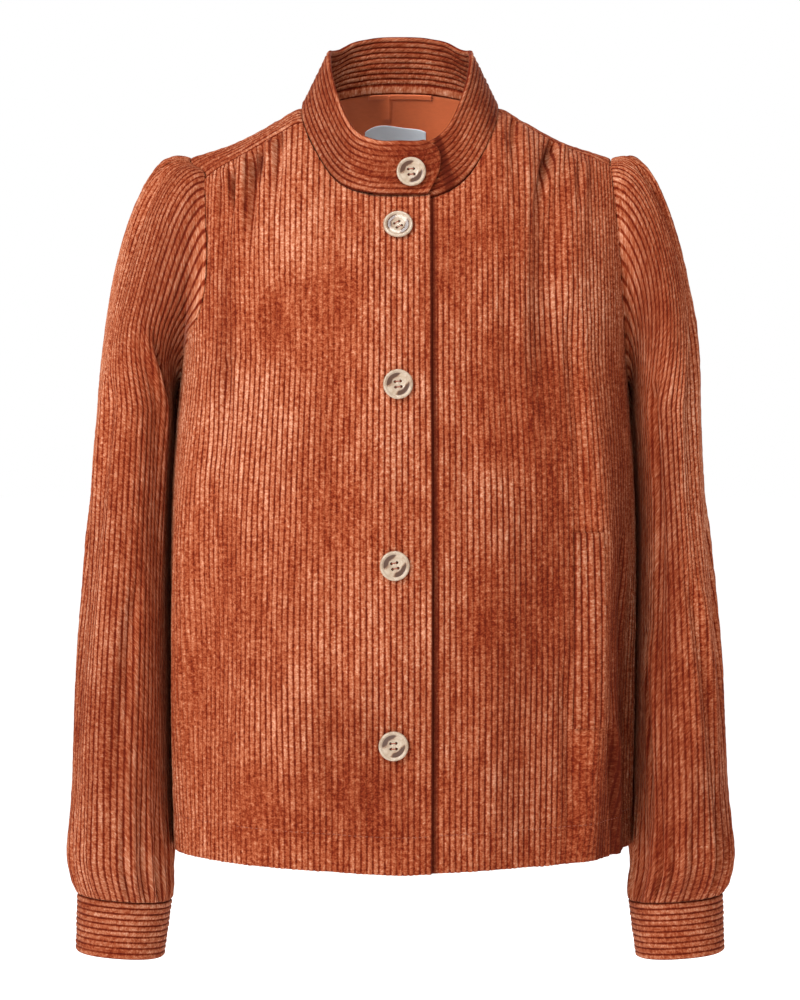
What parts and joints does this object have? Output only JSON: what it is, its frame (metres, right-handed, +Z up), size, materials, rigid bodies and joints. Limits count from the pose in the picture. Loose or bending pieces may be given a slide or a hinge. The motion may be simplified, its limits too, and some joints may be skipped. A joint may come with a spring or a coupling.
{
  "type": "corduroy jacket",
  "caption": "Wide-wale corduroy jacket with stand collar, shoulder yokes, puffed sleeves gathered into cuffs and a buttoned front, worn-shaped and hollow",
  "frame": {"origin": "the middle of the neck, level with the shoulder seams' neck ends, where the wearer's shoulders carry the jacket", "axes": "+Z up, the front faces -Y, the wearer's left is +X"},
  "size_m": [0.5402, 0.2427, 0.7564],
  "materials": {
    "corduroy": "brushed wide-wale pile",
    "lining": "smooth satin",
    "label": "woven, blank",
    "button_horn": "polished, horn-like"
  },
  "bodies": {
    "root": {"back": "corduroy", "front_left": "corduroy", "front_right": "corduroy", "yoke_left": "corduroy", "yoke_right": "corduroy", "sleeve_left": "corduroy", "sleeve_right": "corduroy", "cuff_left": "corduroy", "cuff_right": "corduroy", "collar": "corduroy", "pocket_welt": "corduroy", "neck_lining": "lining", "hanger_loop": "lining", "label": "label", "button_1": "button_horn", "button_2": "button_horn", "button_3": "button_horn", "button_4": "button_horn", "button_5": "button_horn"}
  },
  "joints": []
}
